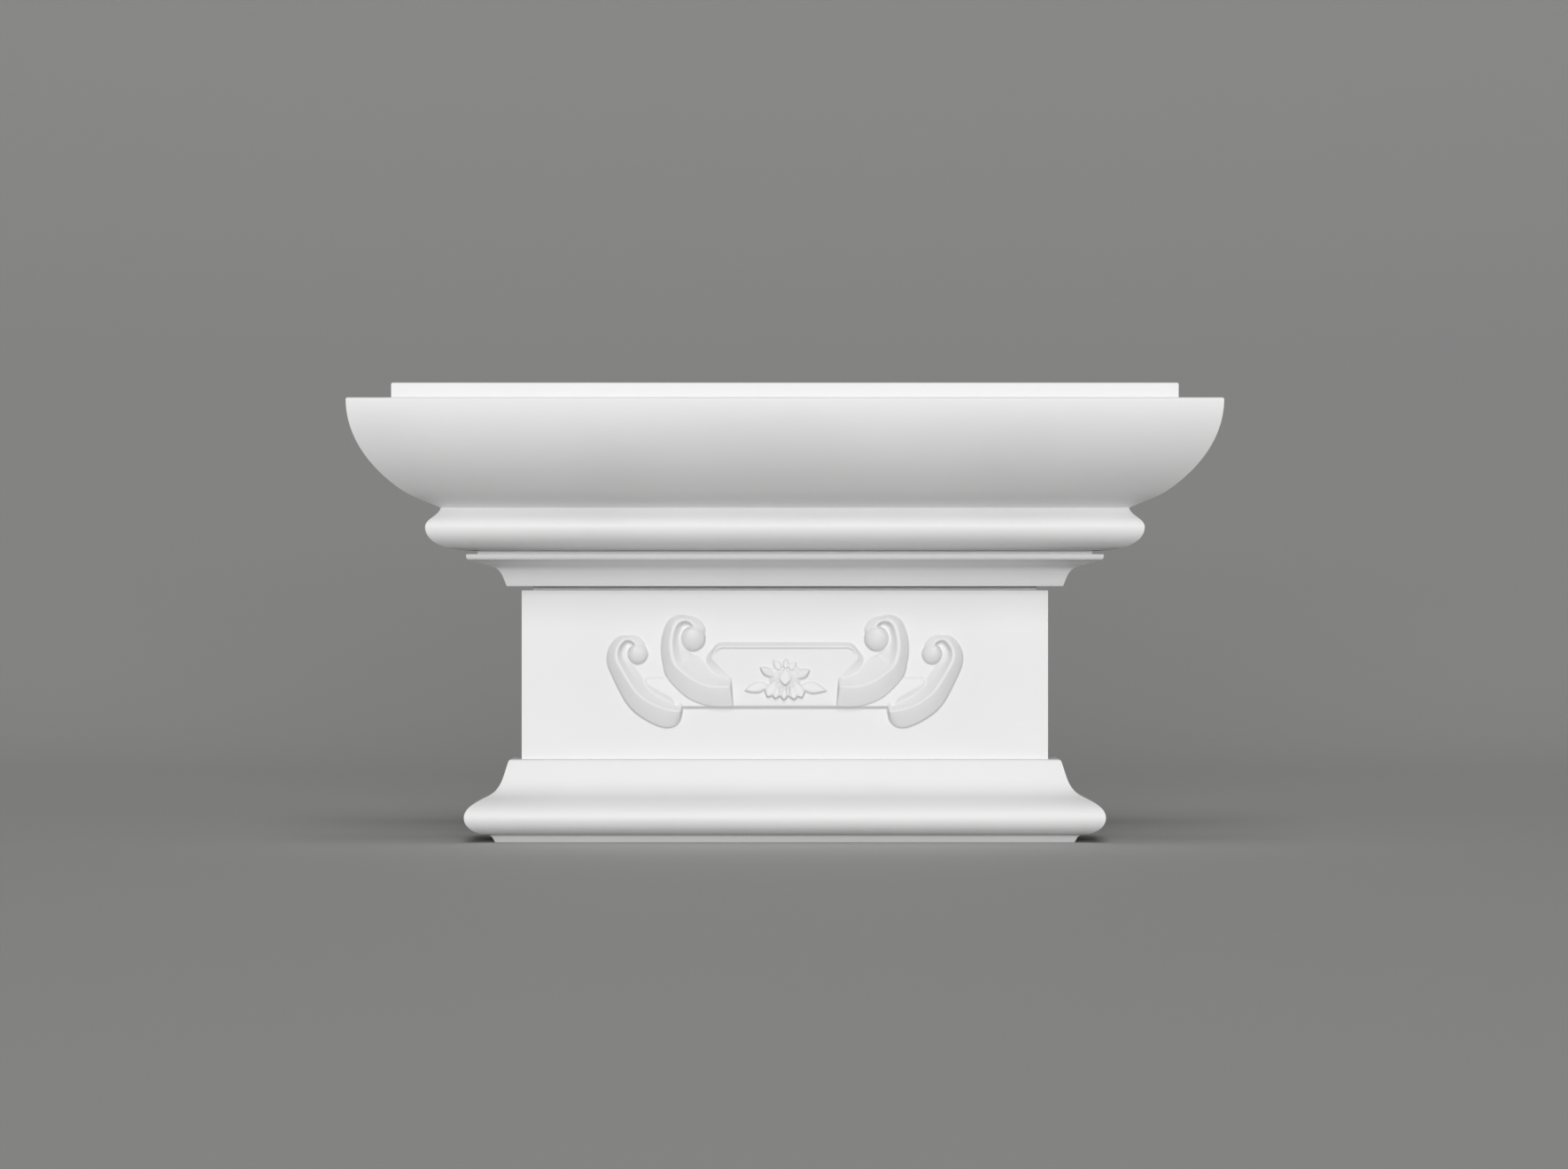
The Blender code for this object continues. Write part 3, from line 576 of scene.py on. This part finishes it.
per_corner = CORNER_STEPS + 1
upper_right = len(tablet_face) // 2 - 1
top_line = rounded(tablet_face)[upper_right * per_corner:(upper_right + 2) * per_corner]
away, side, _, _ = nearest(top_line, grid_x, grid_up)
bead_across = (away * np.sign(side) - BEAD_SET) / (BEAD_W / 2)
bead_rise = BEAD_H * ramp(grid_up, BEAD_FADE_LOW, BEAD_FADE_HIGH)
bead = np.where(np.abs(bead_across) < 1, bead_rise * (1 - bead_across ** 2), 0.0)
tablet = np.where(tablet > BEAD_ON_SHARE * TABLET_H, tablet + bead, tablet)
print("bead adds %.1f mm" % (bead.max() * 1000))

# %% [markdown]
# ## Rosette
# The rosette is a spray of petals round a low boss, with a long leaf to each side. A petal is
# pointed at its tip, and most are cupped: low by the boss and high at the tip, with a steep edge
# that throws a dark line under it. Petals could be bent sheets laid over each other, but the real
# ones are solid down to the tablet, so each is one more answer for the height map.
# A row holds the root's x and up, the tip's x and up, the width, the heights at root and tip, how
# far along the petal is widest, and how much it leans across.

# %% Petals
PETALS = (
    (-0.0080, -0.0046, -0.0188, -0.0073, 0.0056, 0.0036, 0.0040, 0.40, 0.14),
    (0.0078, -0.0050, 0.0195, -0.0074, 0.0060, 0.0036, 0.0040, 0.36, 0.14),
    (-0.0022, 0.0010, -0.0094, 0.0014, 0.0042, 0.0030, 0.0036, 0.50, 0.0),
    (-0.0030, -0.0018, -0.0114, 0.0034, 0.0044, 0.0034, 0.0047, 0.60, 0.06),
    (0.0026, 0.0012, 0.0072, 0.0024, 0.0040, 0.0030, 0.0038, 0.60, 0.0),
    (0.0034, -0.0022, 0.0114, 0.0022, 0.0048, 0.0034, 0.0046, 0.60, 0.06),
    (-0.0018, 0.0022, -0.0054, 0.0070, 0.0042, 0.0040, 0.0031, 0.36, 0.0),
    (0.0003, 0.0026, 0.0007, 0.0078, 0.0036, 0.0040, 0.0031, 0.36, 0.0),
    (0.0022, 0.0022, 0.0052, 0.0062, 0.0042, 0.0040, 0.0031, 0.36, 0.0),
    (-0.0038, -0.0022, -0.0082, -0.0102, 0.0062, 0.0036, 0.0050, 0.62, 0.04),
    (-0.0022, -0.0032, -0.0047, -0.0110, 0.0048, 0.0040, 0.0054, 0.66, 0.02),
    (0.0001, -0.0042, -0.0006, -0.0116, 0.0044, 0.0040, 0.0055, 0.66, 0.0),
    (0.0022, -0.0032, 0.0046, -0.0114, 0.0052, 0.0040, 0.0053, 0.68, 0.02),
    (0.0042, -0.0022, 0.0079, -0.0106, 0.0064, 0.0036, 0.0051, 0.62, 0.04),
    (0.0002, 0.0036, 0.0001, -0.0050, 0.0078, 0.0036, 0.0061, 0.56, 0.0),
)
BOSS = (0.0, -0.0022, 0.0176, 0.0128, 0.0045)
PETAL_EDGE_W = 0.0005
PETAL_FLATNESS = 3.2
PETAL_ROUNDNESS = 0.6
THREAD_W = 1e-5


def petal_height(root_x, root_up, tip_x, tip_up, width, root_h, tip_h, widest, lean):
    length = math.dist((root_x, root_up), (tip_x, tip_up))
    along = ((tip_x - root_x) / length, (tip_up - root_up) / length)
    t = ((grid_x - root_x) * along[0] + (grid_up - root_up) * along[1]) / length
    w = -(grid_x - root_x) * along[1] + (grid_up - root_up) * along[0]
    power = math.log(0.5) / math.log(widest)
    held = np.clip(t, 0.0, 1.0)
    spread = np.sin(math.pi * held ** power) * width / 2
    rim = spread - np.abs(w)
    share = np.clip(np.abs(w) / np.maximum(spread, THREAD_W), 0.0, 1.0)
    face = root_h + (tip_h - root_h) * held - lean * w * along[0]
    body = (1 - share ** PETAL_FLATNESS) ** PETAL_ROUNDNESS * ramp(rim, 0.0, PETAL_EDGE_W)
    height = TABLET_H + (face - TABLET_H) * body
    return np.where((t > 0) & (t < 1) & (rim > 0), height, 0.0)


rosette = dome_height(grid_x, *BOSS)
for petal in PETALS:
    rosette = np.maximum(rosette, petal_height(*petal))
print("rosette stands out %.1f mm" % (rosette.max() * 1000))

# %% [markdown]
# ## Softened carving
# A mould, its release coat and two coats of paint take the crispness off any carving. A smooth
# modifier would do this too, but unevenly on a mesh of mixed faces. The map is blurred over about a
# fifth of a millimetre instead, which is the same everywhere, and its border is held flat.

# %% Join and soften
SOFTEN_R = 0.00018
SOFTEN_REACH = 3


def soften(field, radius):
    span = max(1, math.ceil(SOFTEN_REACH * radius / CELL))
    weights = np.exp(-0.5 * (np.arange(-span, span + 1) * CELL / radius) ** 2)
    weights /= weights.sum()
    for axis in (0, 1):
        padded = np.pad(field, [(span, span) if a == axis else (0, 0) for a in (0, 1)])
        size = field.shape[axis]
        field = sum(w * np.take(padded, range(i, i + size), axis) for i, w in enumerate(weights))
    return field


carving = scrolls
for form in (eyes, tablet, wings, rosette):
    carving = np.maximum(carving, form)
carving = soften(carving, SOFTEN_R)
carving[0, :] = carving[-1, :] = 0.0
carving[:, 0] = carving[:, -1] = 0.0
print("carving stands out %.1f mm at most" % (carving.max() * 1000))

# %% [markdown]
# ## From map to mesh
# The carved part of the neck has to be a surface of real faces, so that it looks right from the
# side too. A displace modifier on a dense grid would keep every small face. Here the dense sheet is
# thinned where nothing happens and kept fine where the carving is.

# %% Carved sheet
KEEP = 0.36
front = (CROWN_P + NECK_D) / 2 - NECK_D
mid_neck = neck_foot + NECK_H / 2


def carved_sheet():
    depth = (front - carving).ravel()
    spots = np.stack([grid_x.ravel(), depth, (mid_neck + grid_up).ravel()], axis=1)
    first = (np.arange(rows)[:, None] * (columns + 1) + np.arange(columns)[None, :]).ravel()
    quads = np.stack([first, first + 1, first + columns + 2, first + columns + 1], axis=1)
    mesh = bpy.data.meshes.new("carved_sheet")
    mesh.from_pydata(spots.tolist(), [], quads.tolist())
    sheet = bpy.data.objects.new("carved_sheet", mesh)
    bpy.context.collection.objects.link(sheet)
    thin = sheet.modifiers.new("thin", "DECIMATE")
    thin.ratio = KEEP
    bpy.context.view_layer.update()
    graph = bpy.context.evaluated_depsgraph_get()
    thinned = bpy.data.meshes.new_from_object(sheet.evaluated_get(graph))
    bpy.data.objects.remove(sheet, do_unlink=True)
    return thinned


sheet_mesh = carved_sheet()
print("carved sheet has", len(sheet_mesh.polygons), "faces")

# %% [markdown]
# ## The block
# The real capital is one moulding whose bands meet in mitred corners. Three swept bars could be
# mitred and joined. Here the outline is set at the four corners of the block at once, at 45 degrees
# at the front ones, and the faces are strung between them, so the mitres can't open. The strip of
# the neck's front is left out, because the carved sheet goes there.

# %% Run the outline round the block
def run_outline(bm):
    """The block's faces, and the corners of the gap in the neck's front."""
    back = front + NECK_D
    rings = []
    for p, z in lower_rows + upper_rows:
        half = NECK_W / 2 + p
        corners = ((-half, back), (-half, front - p), (half, front - p), (half, back))
        rings.append([bm.verts.new((x, y, z)) for x, y in corners])
    neck = len(lower_rows) - 1
    for index, (low, high) in enumerate(zip(rings, rings[1:])):
        for i in range(3):
            if index != neck or i != 1:
                bm.faces.new((low[i], low[i + 1], high[i + 1], high[i]))
    bm.faces.new(rings[0][::-1])
    bm.faces.new(rings[-1])
    bm.faces.new([ring[0] for ring in rings] + [ring[3] for ring in reversed(rings)])
    return rings[neck][1], rings[neck][2], rings[neck + 1][2], rings[neck + 1][1]


print("gap for the sheet from z %.4f to %.4f" % (lower_rows[-1][1], upper_rows[0][1]))

# %% [markdown]
# ## Carving let into the neck
# The ornament isn't stuck on: it is part of the neck. Laying the sheet over a flat neck would hide
# a second surface behind it. Four flat faces are made between the sheet's border and the corners of
# the gap instead, so the skin stays one closed surface.

# %% Let the carved sheet into the neck
def border_of(verts, corners):
    """The sheet's border in order, as four sides that run from corner to corner."""
    links = {}
    for vert in verts:
        for edge in vert.link_edges:
            if len(edge.link_faces) == 1:
                links.setdefault(vert, []).append(edge.other_vert(vert))
    turns = [min(links, key=lambda v: (v.co - corner.co).length) for corner in corners]
    loop = [turns[0]]
    step = max(links[turns[0]], key=lambda v: v.co.x)
    while step is not loop[0]:
        loop.append(step)
        step = next(v for v in links[step] if v is not loop[-2])
    at = [loop.index(v) for v in turns] + [len(loop)]
    loop.append(loop[0])
    return [loop[a:b + 1] for a, b in zip(at, at[1:])]


def let_in(bm, corners):
    before = len(bm.verts)
    bm.from_mesh(sheet_mesh)
    bm.verts.ensure_lookup_table()
    fresh = bm.verts[before:]
    carved = {face for vert in fresh for face in vert.link_faces}
    sides = border_of(fresh, corners)
    for i, side in enumerate(sides):
        bm.faces.new([corners[i], corners[(i + 1) % 4]] + side[::-1])
    print("sheet border:", sum(len(side) - 1 for side in sides), "edges")
    return carved


# %% [markdown]
# ## Closed skin
# The finished skin takes the solid's place and rides on its only body. Shading every face smooth
# would smear the crisp edges, and shading them flat would show the steps of the curves, so edges
# sharper than a set angle are marked sharp and the carving is left smooth. Every edge of a closed
# skin has two faces, and the printed line says how many edges don't.

# %% Build the skin
SHARP_FROM_DEG = 20


def build_skin():
    bm = bmesh.new()
    carved = let_in(bm, run_outline(bm))
    bmesh.ops.recalc_face_normals(bm, faces=bm.faces)
    for face in bm.faces:
        face.smooth = True
    for edge in bm.edges:
        if not all(face in carved for face in edge.link_faces):
            edge.smooth = edge.calc_face_angle(0.0) < math.radians(SHARP_FROM_DEG)
    open_edges = sum(len(edge.link_faces) != 2 for edge in bm.edges)
    mesh = bpy.data.meshes.new("capital_moulding")
    bm.to_mesh(mesh)
    bm.free()
    skin = bpy.data.objects.new("capital_moulding", mesh)
    bpy.context.collection.objects.link(skin)
    triangles = sum(len(polygon.vertices) - 2 for polygon in mesh.polygons)
    print("skin:", triangles, "triangles,", open_edges, "open edges")
    return skin


skin = build_skin()
bpy.data.meshes.remove(sheet_mesh)
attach(skin, "root")
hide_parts("capital")

# %% [markdown]
# ## White paint
# The foam is primed in the mould and painted matte white. One flat tone would do from afar, but a
# painted surface varies very slightly in colour and sheen and has a faint orange-peel texture. Two
# noise textures give that without any picture: a broad one for tone and sheen, a fine one for bump.

# %% Paint material
CLOUD_SCALE = 14.0
PEEL_SCALE = 900.0
TONE_DARK = 0.690
TONE_LIGHT = 0.716
TONE_FROM = 0.35
TONE_TO = 0.65


def node(tree, kind, **inputs):
    made = tree.nodes.new(kind)
    for name, value in inputs.items():
        made.inputs[name.replace("_", " ")].default_value = value
    return made


def paint_material():
    material = bpy.data.materials.new("white_paint")
    material.use_nodes = True
    tree = material.node_tree
    shader = tree.nodes["Principled BSDF"]
    place = node(tree, "ShaderNodeTexCoord")
    cloud = node(tree, "ShaderNodeTexNoise", Scale=CLOUD_SCALE, Detail=3.0, Roughness=0.5)
    peel = node(tree, "ShaderNodeTexNoise", Scale=PEEL_SCALE, Detail=2.0, Roughness=0.5)
    tone = node(tree, "ShaderNodeValToRGB")
    tone.color_ramp.elements[0].color = (TONE_DARK, TONE_DARK, TONE_DARK, 1.0)
    tone.color_ramp.elements[0].position = TONE_FROM
    tone.color_ramp.elements[1].color = (TONE_LIGHT, TONE_LIGHT, TONE_LIGHT, 1.0)
    tone.color_ramp.elements[1].position = TONE_TO
    sheen = node(tree, "ShaderNodeMapRange", From_Min=0.3, From_Max=0.7, To_Min=0.50, To_Max=0.60)
    bump = node(tree, "ShaderNodeBump", Strength=0.06, Distance=0.0002)
    for noise in (cloud, peel):
        tree.links.new(place.outputs["Object"], noise.inputs["Vector"])
    tree.links.new(cloud.outputs["Fac"], tone.inputs["Fac"])
    tree.links.new(cloud.outputs["Fac"], sheen.inputs["Value"])
    tree.links.new(peel.outputs["Fac"], bump.inputs["Height"])
    tree.links.new(tone.outputs["Color"], shader.inputs["Base Color"])
    tree.links.new(sheen.outputs["Result"], shader.inputs["Roughness"])
    tree.links.new(bump.outputs["Normal"], shader.inputs["Normal"])
    return material


paint = paint_material()
skin.data.materials.append(paint)
print("paint has", len(paint.node_tree.nodes), "nodes")

# %% [markdown]
# ## Studio floor
# The capital stands on a pale floor that curves up into the backdrop. A plane and a wall would meet
# in a line behind it, so both are one sheet with a round corner. Its tone changes only with the
# distance from front to back: it is painted lighter where less light falls and darker where more
# falls, a painted shading that evens out the fall of the light.

# %% Floor and backdrop
FLOOR_FRONT_Y = -9.0
CURVE_Y = 1.2
CURVE_R = 0.8
CURVE_PARTS = 16
WALL_TOP_Z = 3.5
FLOOR_HALF_W = 4.0
FLOOR_ROUGHNESS = 0.8
TONE_REACH_Y = 2.0
# Painted light and shade: tones along the depth, set to cancel the uneven fall of the light on floor
# and backdrop.
FLOOR_TONES = (
    (-1.7, 0.29),
    (-0.6, 0.37),
    (0.5, 0.43),
    (1.2, 0.48),
    (1.61, 0.345),
    (1.8, 0.30),
)
FLOOR_BLUE = 0.99


def floor_mesh():
    side_line = [(FLOOR_FRONT_Y, 0.0), (CURVE_Y, 0.0)]
    for i in range(1, CURVE_PARTS + 1):
        a = math.pi / 2 * i / CURVE_PARTS
        side_line.append((CURVE_Y + CURVE_R * math.sin(a), CURVE_R - CURVE_R * math.cos(a)))
    side_line.append((CURVE_Y + CURVE_R, WALL_TOP_Z))
    bm = bmesh.new()
    across = (-FLOOR_HALF_W, FLOOR_HALF_W)
    pairs = [[bm.verts.new((x, y, z)) for x in across] for y, z in side_line]
    for a, b in zip(pairs, pairs[1:]):
        bm.faces.new((a[0], a[1], b[1], b[0])).smooth = True
    mesh = bpy.data.meshes.new("floor")
    bm.to_mesh(mesh)
    bm.free()
    return mesh


def floor_material():
    material = bpy.data.materials.new("pale_floor")
    material.use_nodes = True
    tree = material.node_tree
    shader = tree.nodes["Principled BSDF"]
    shader.inputs["Roughness"].default_value = FLOOR_ROUGHNESS
    place = node(tree, "ShaderNodeTexCoord")
    split = node(tree, "ShaderNodeSeparateXYZ")
    depth = node(tree, "ShaderNodeMapRange", From_Min=-TONE_REACH_Y, From_Max=TONE_REACH_Y)
    tone = node(tree, "ShaderNodeValToRGB")
    stops = tone.color_ramp.elements
    for y, grey in FLOOR_TONES:
        stop = stops.new((y + TONE_REACH_Y) / (2 * TONE_REACH_Y))
        stop.color = (grey, grey, FLOOR_BLUE * grey, 1.0)
    stops.remove(stops[0])
    stops.remove(stops[-1])
    tree.links.new(place.outputs["Object"], split.inputs["Vector"])
    tree.links.new(split.outputs["Y"], depth.inputs["Value"])
    tree.links.new(depth.outputs["Result"], tone.inputs["Fac"])
    tree.links.new(tone.outputs["Color"], shader.inputs["Base Color"])
    return material


floor = bpy.data.objects.new("floor", floor_mesh())
bpy.context.collection.objects.link(floor)
floor.data.materials.append(floor_material())
print("floor has", len(floor.data.polygons), "faces")

# %% [markdown]
# ## Lights
# The photograph is lit softly from the front and a little from above, so undersides go grey and the
# sunk lines go dark. A bright world would fill those lines with light. Three large soft lights in
# front of and over the capital keep them dark: a strong low one, one higher up, and a weak one for
# the tops. A row holds the name, the degrees it stands over level, its width, height and watts.

# %% Soft lights
LIGHT_DISTANCE = 7.0
AIM_Z = 0.12
LIGHTS = (
    ("front_low", 7, 2.4, 1.2, 295.0),
    ("front_high", 35, 2.6, 2.6, 190.0),
    ("top", 70, 3.2, 3.2, 68.0),
)


def soft_light(name, rise_deg, wide, tall, watts):
    lamp = bpy.data.lights.new(name, "AREA")
    lamp.shape = "RECTANGLE"
    lamp.size = wide
    lamp.size_y = tall
    lamp.energy = watts
    made = bpy.data.objects.new(name, lamp)
    bpy.context.collection.objects.link(made)
    rise = math.radians(rise_deg)
    toward = Vector((0.0, -math.cos(rise), math.sin(rise)))
    made.location = Vector((0.0, 0.0, AIM_Z)) + toward * LIGHT_DISTANCE
    made.rotation_euler = (-toward).to_track_quat("-Z", "Y").to_euler()
    made.visible_camera = False


for light in LIGHTS:
    soft_light(*light)

world = bpy.data.worlds.new("studio")
bpy.context.scene.world = world
world.use_nodes = True
world.node_tree.nodes["Background"].inputs["Strength"].default_value = 0.0
bpy.context.scene.view_settings.view_transform = "Standard"
print(len(LIGHTS), "lights,", sum(light[-1] for light in LIGHTS), "watts together")

# %% [markdown]
# ## Camera
# The photograph looks straight at the front from about three metres with a long lens, level with
# the middle of the picture. A tilted camera near by would bend the upright edges together, so the
# camera stays level, and its lens is worked out from the width that the picture shows.

# %% Camera
DISTANCE = 3.0
VIEW_W = 0.7151
EYE_X = -0.0004
EYE_Z = 0.1171
SENSOR_W = 36.0

lens = bpy.data.cameras.new("camera")
lens.sensor_width = SENSOR_W
lens.lens = SENSOR_W * DISTANCE / VIEW_W
camera = bpy.data.objects.new("camera", lens)
bpy.context.collection.objects.link(camera)
camera.location = (EYE_X, front - DISTANCE, EYE_Z)
camera.rotation_euler = (math.radians(90), 0.0, 0.0)
bpy.context.scene.camera = camera
print("lens is %.0f mm" % lens.lens)
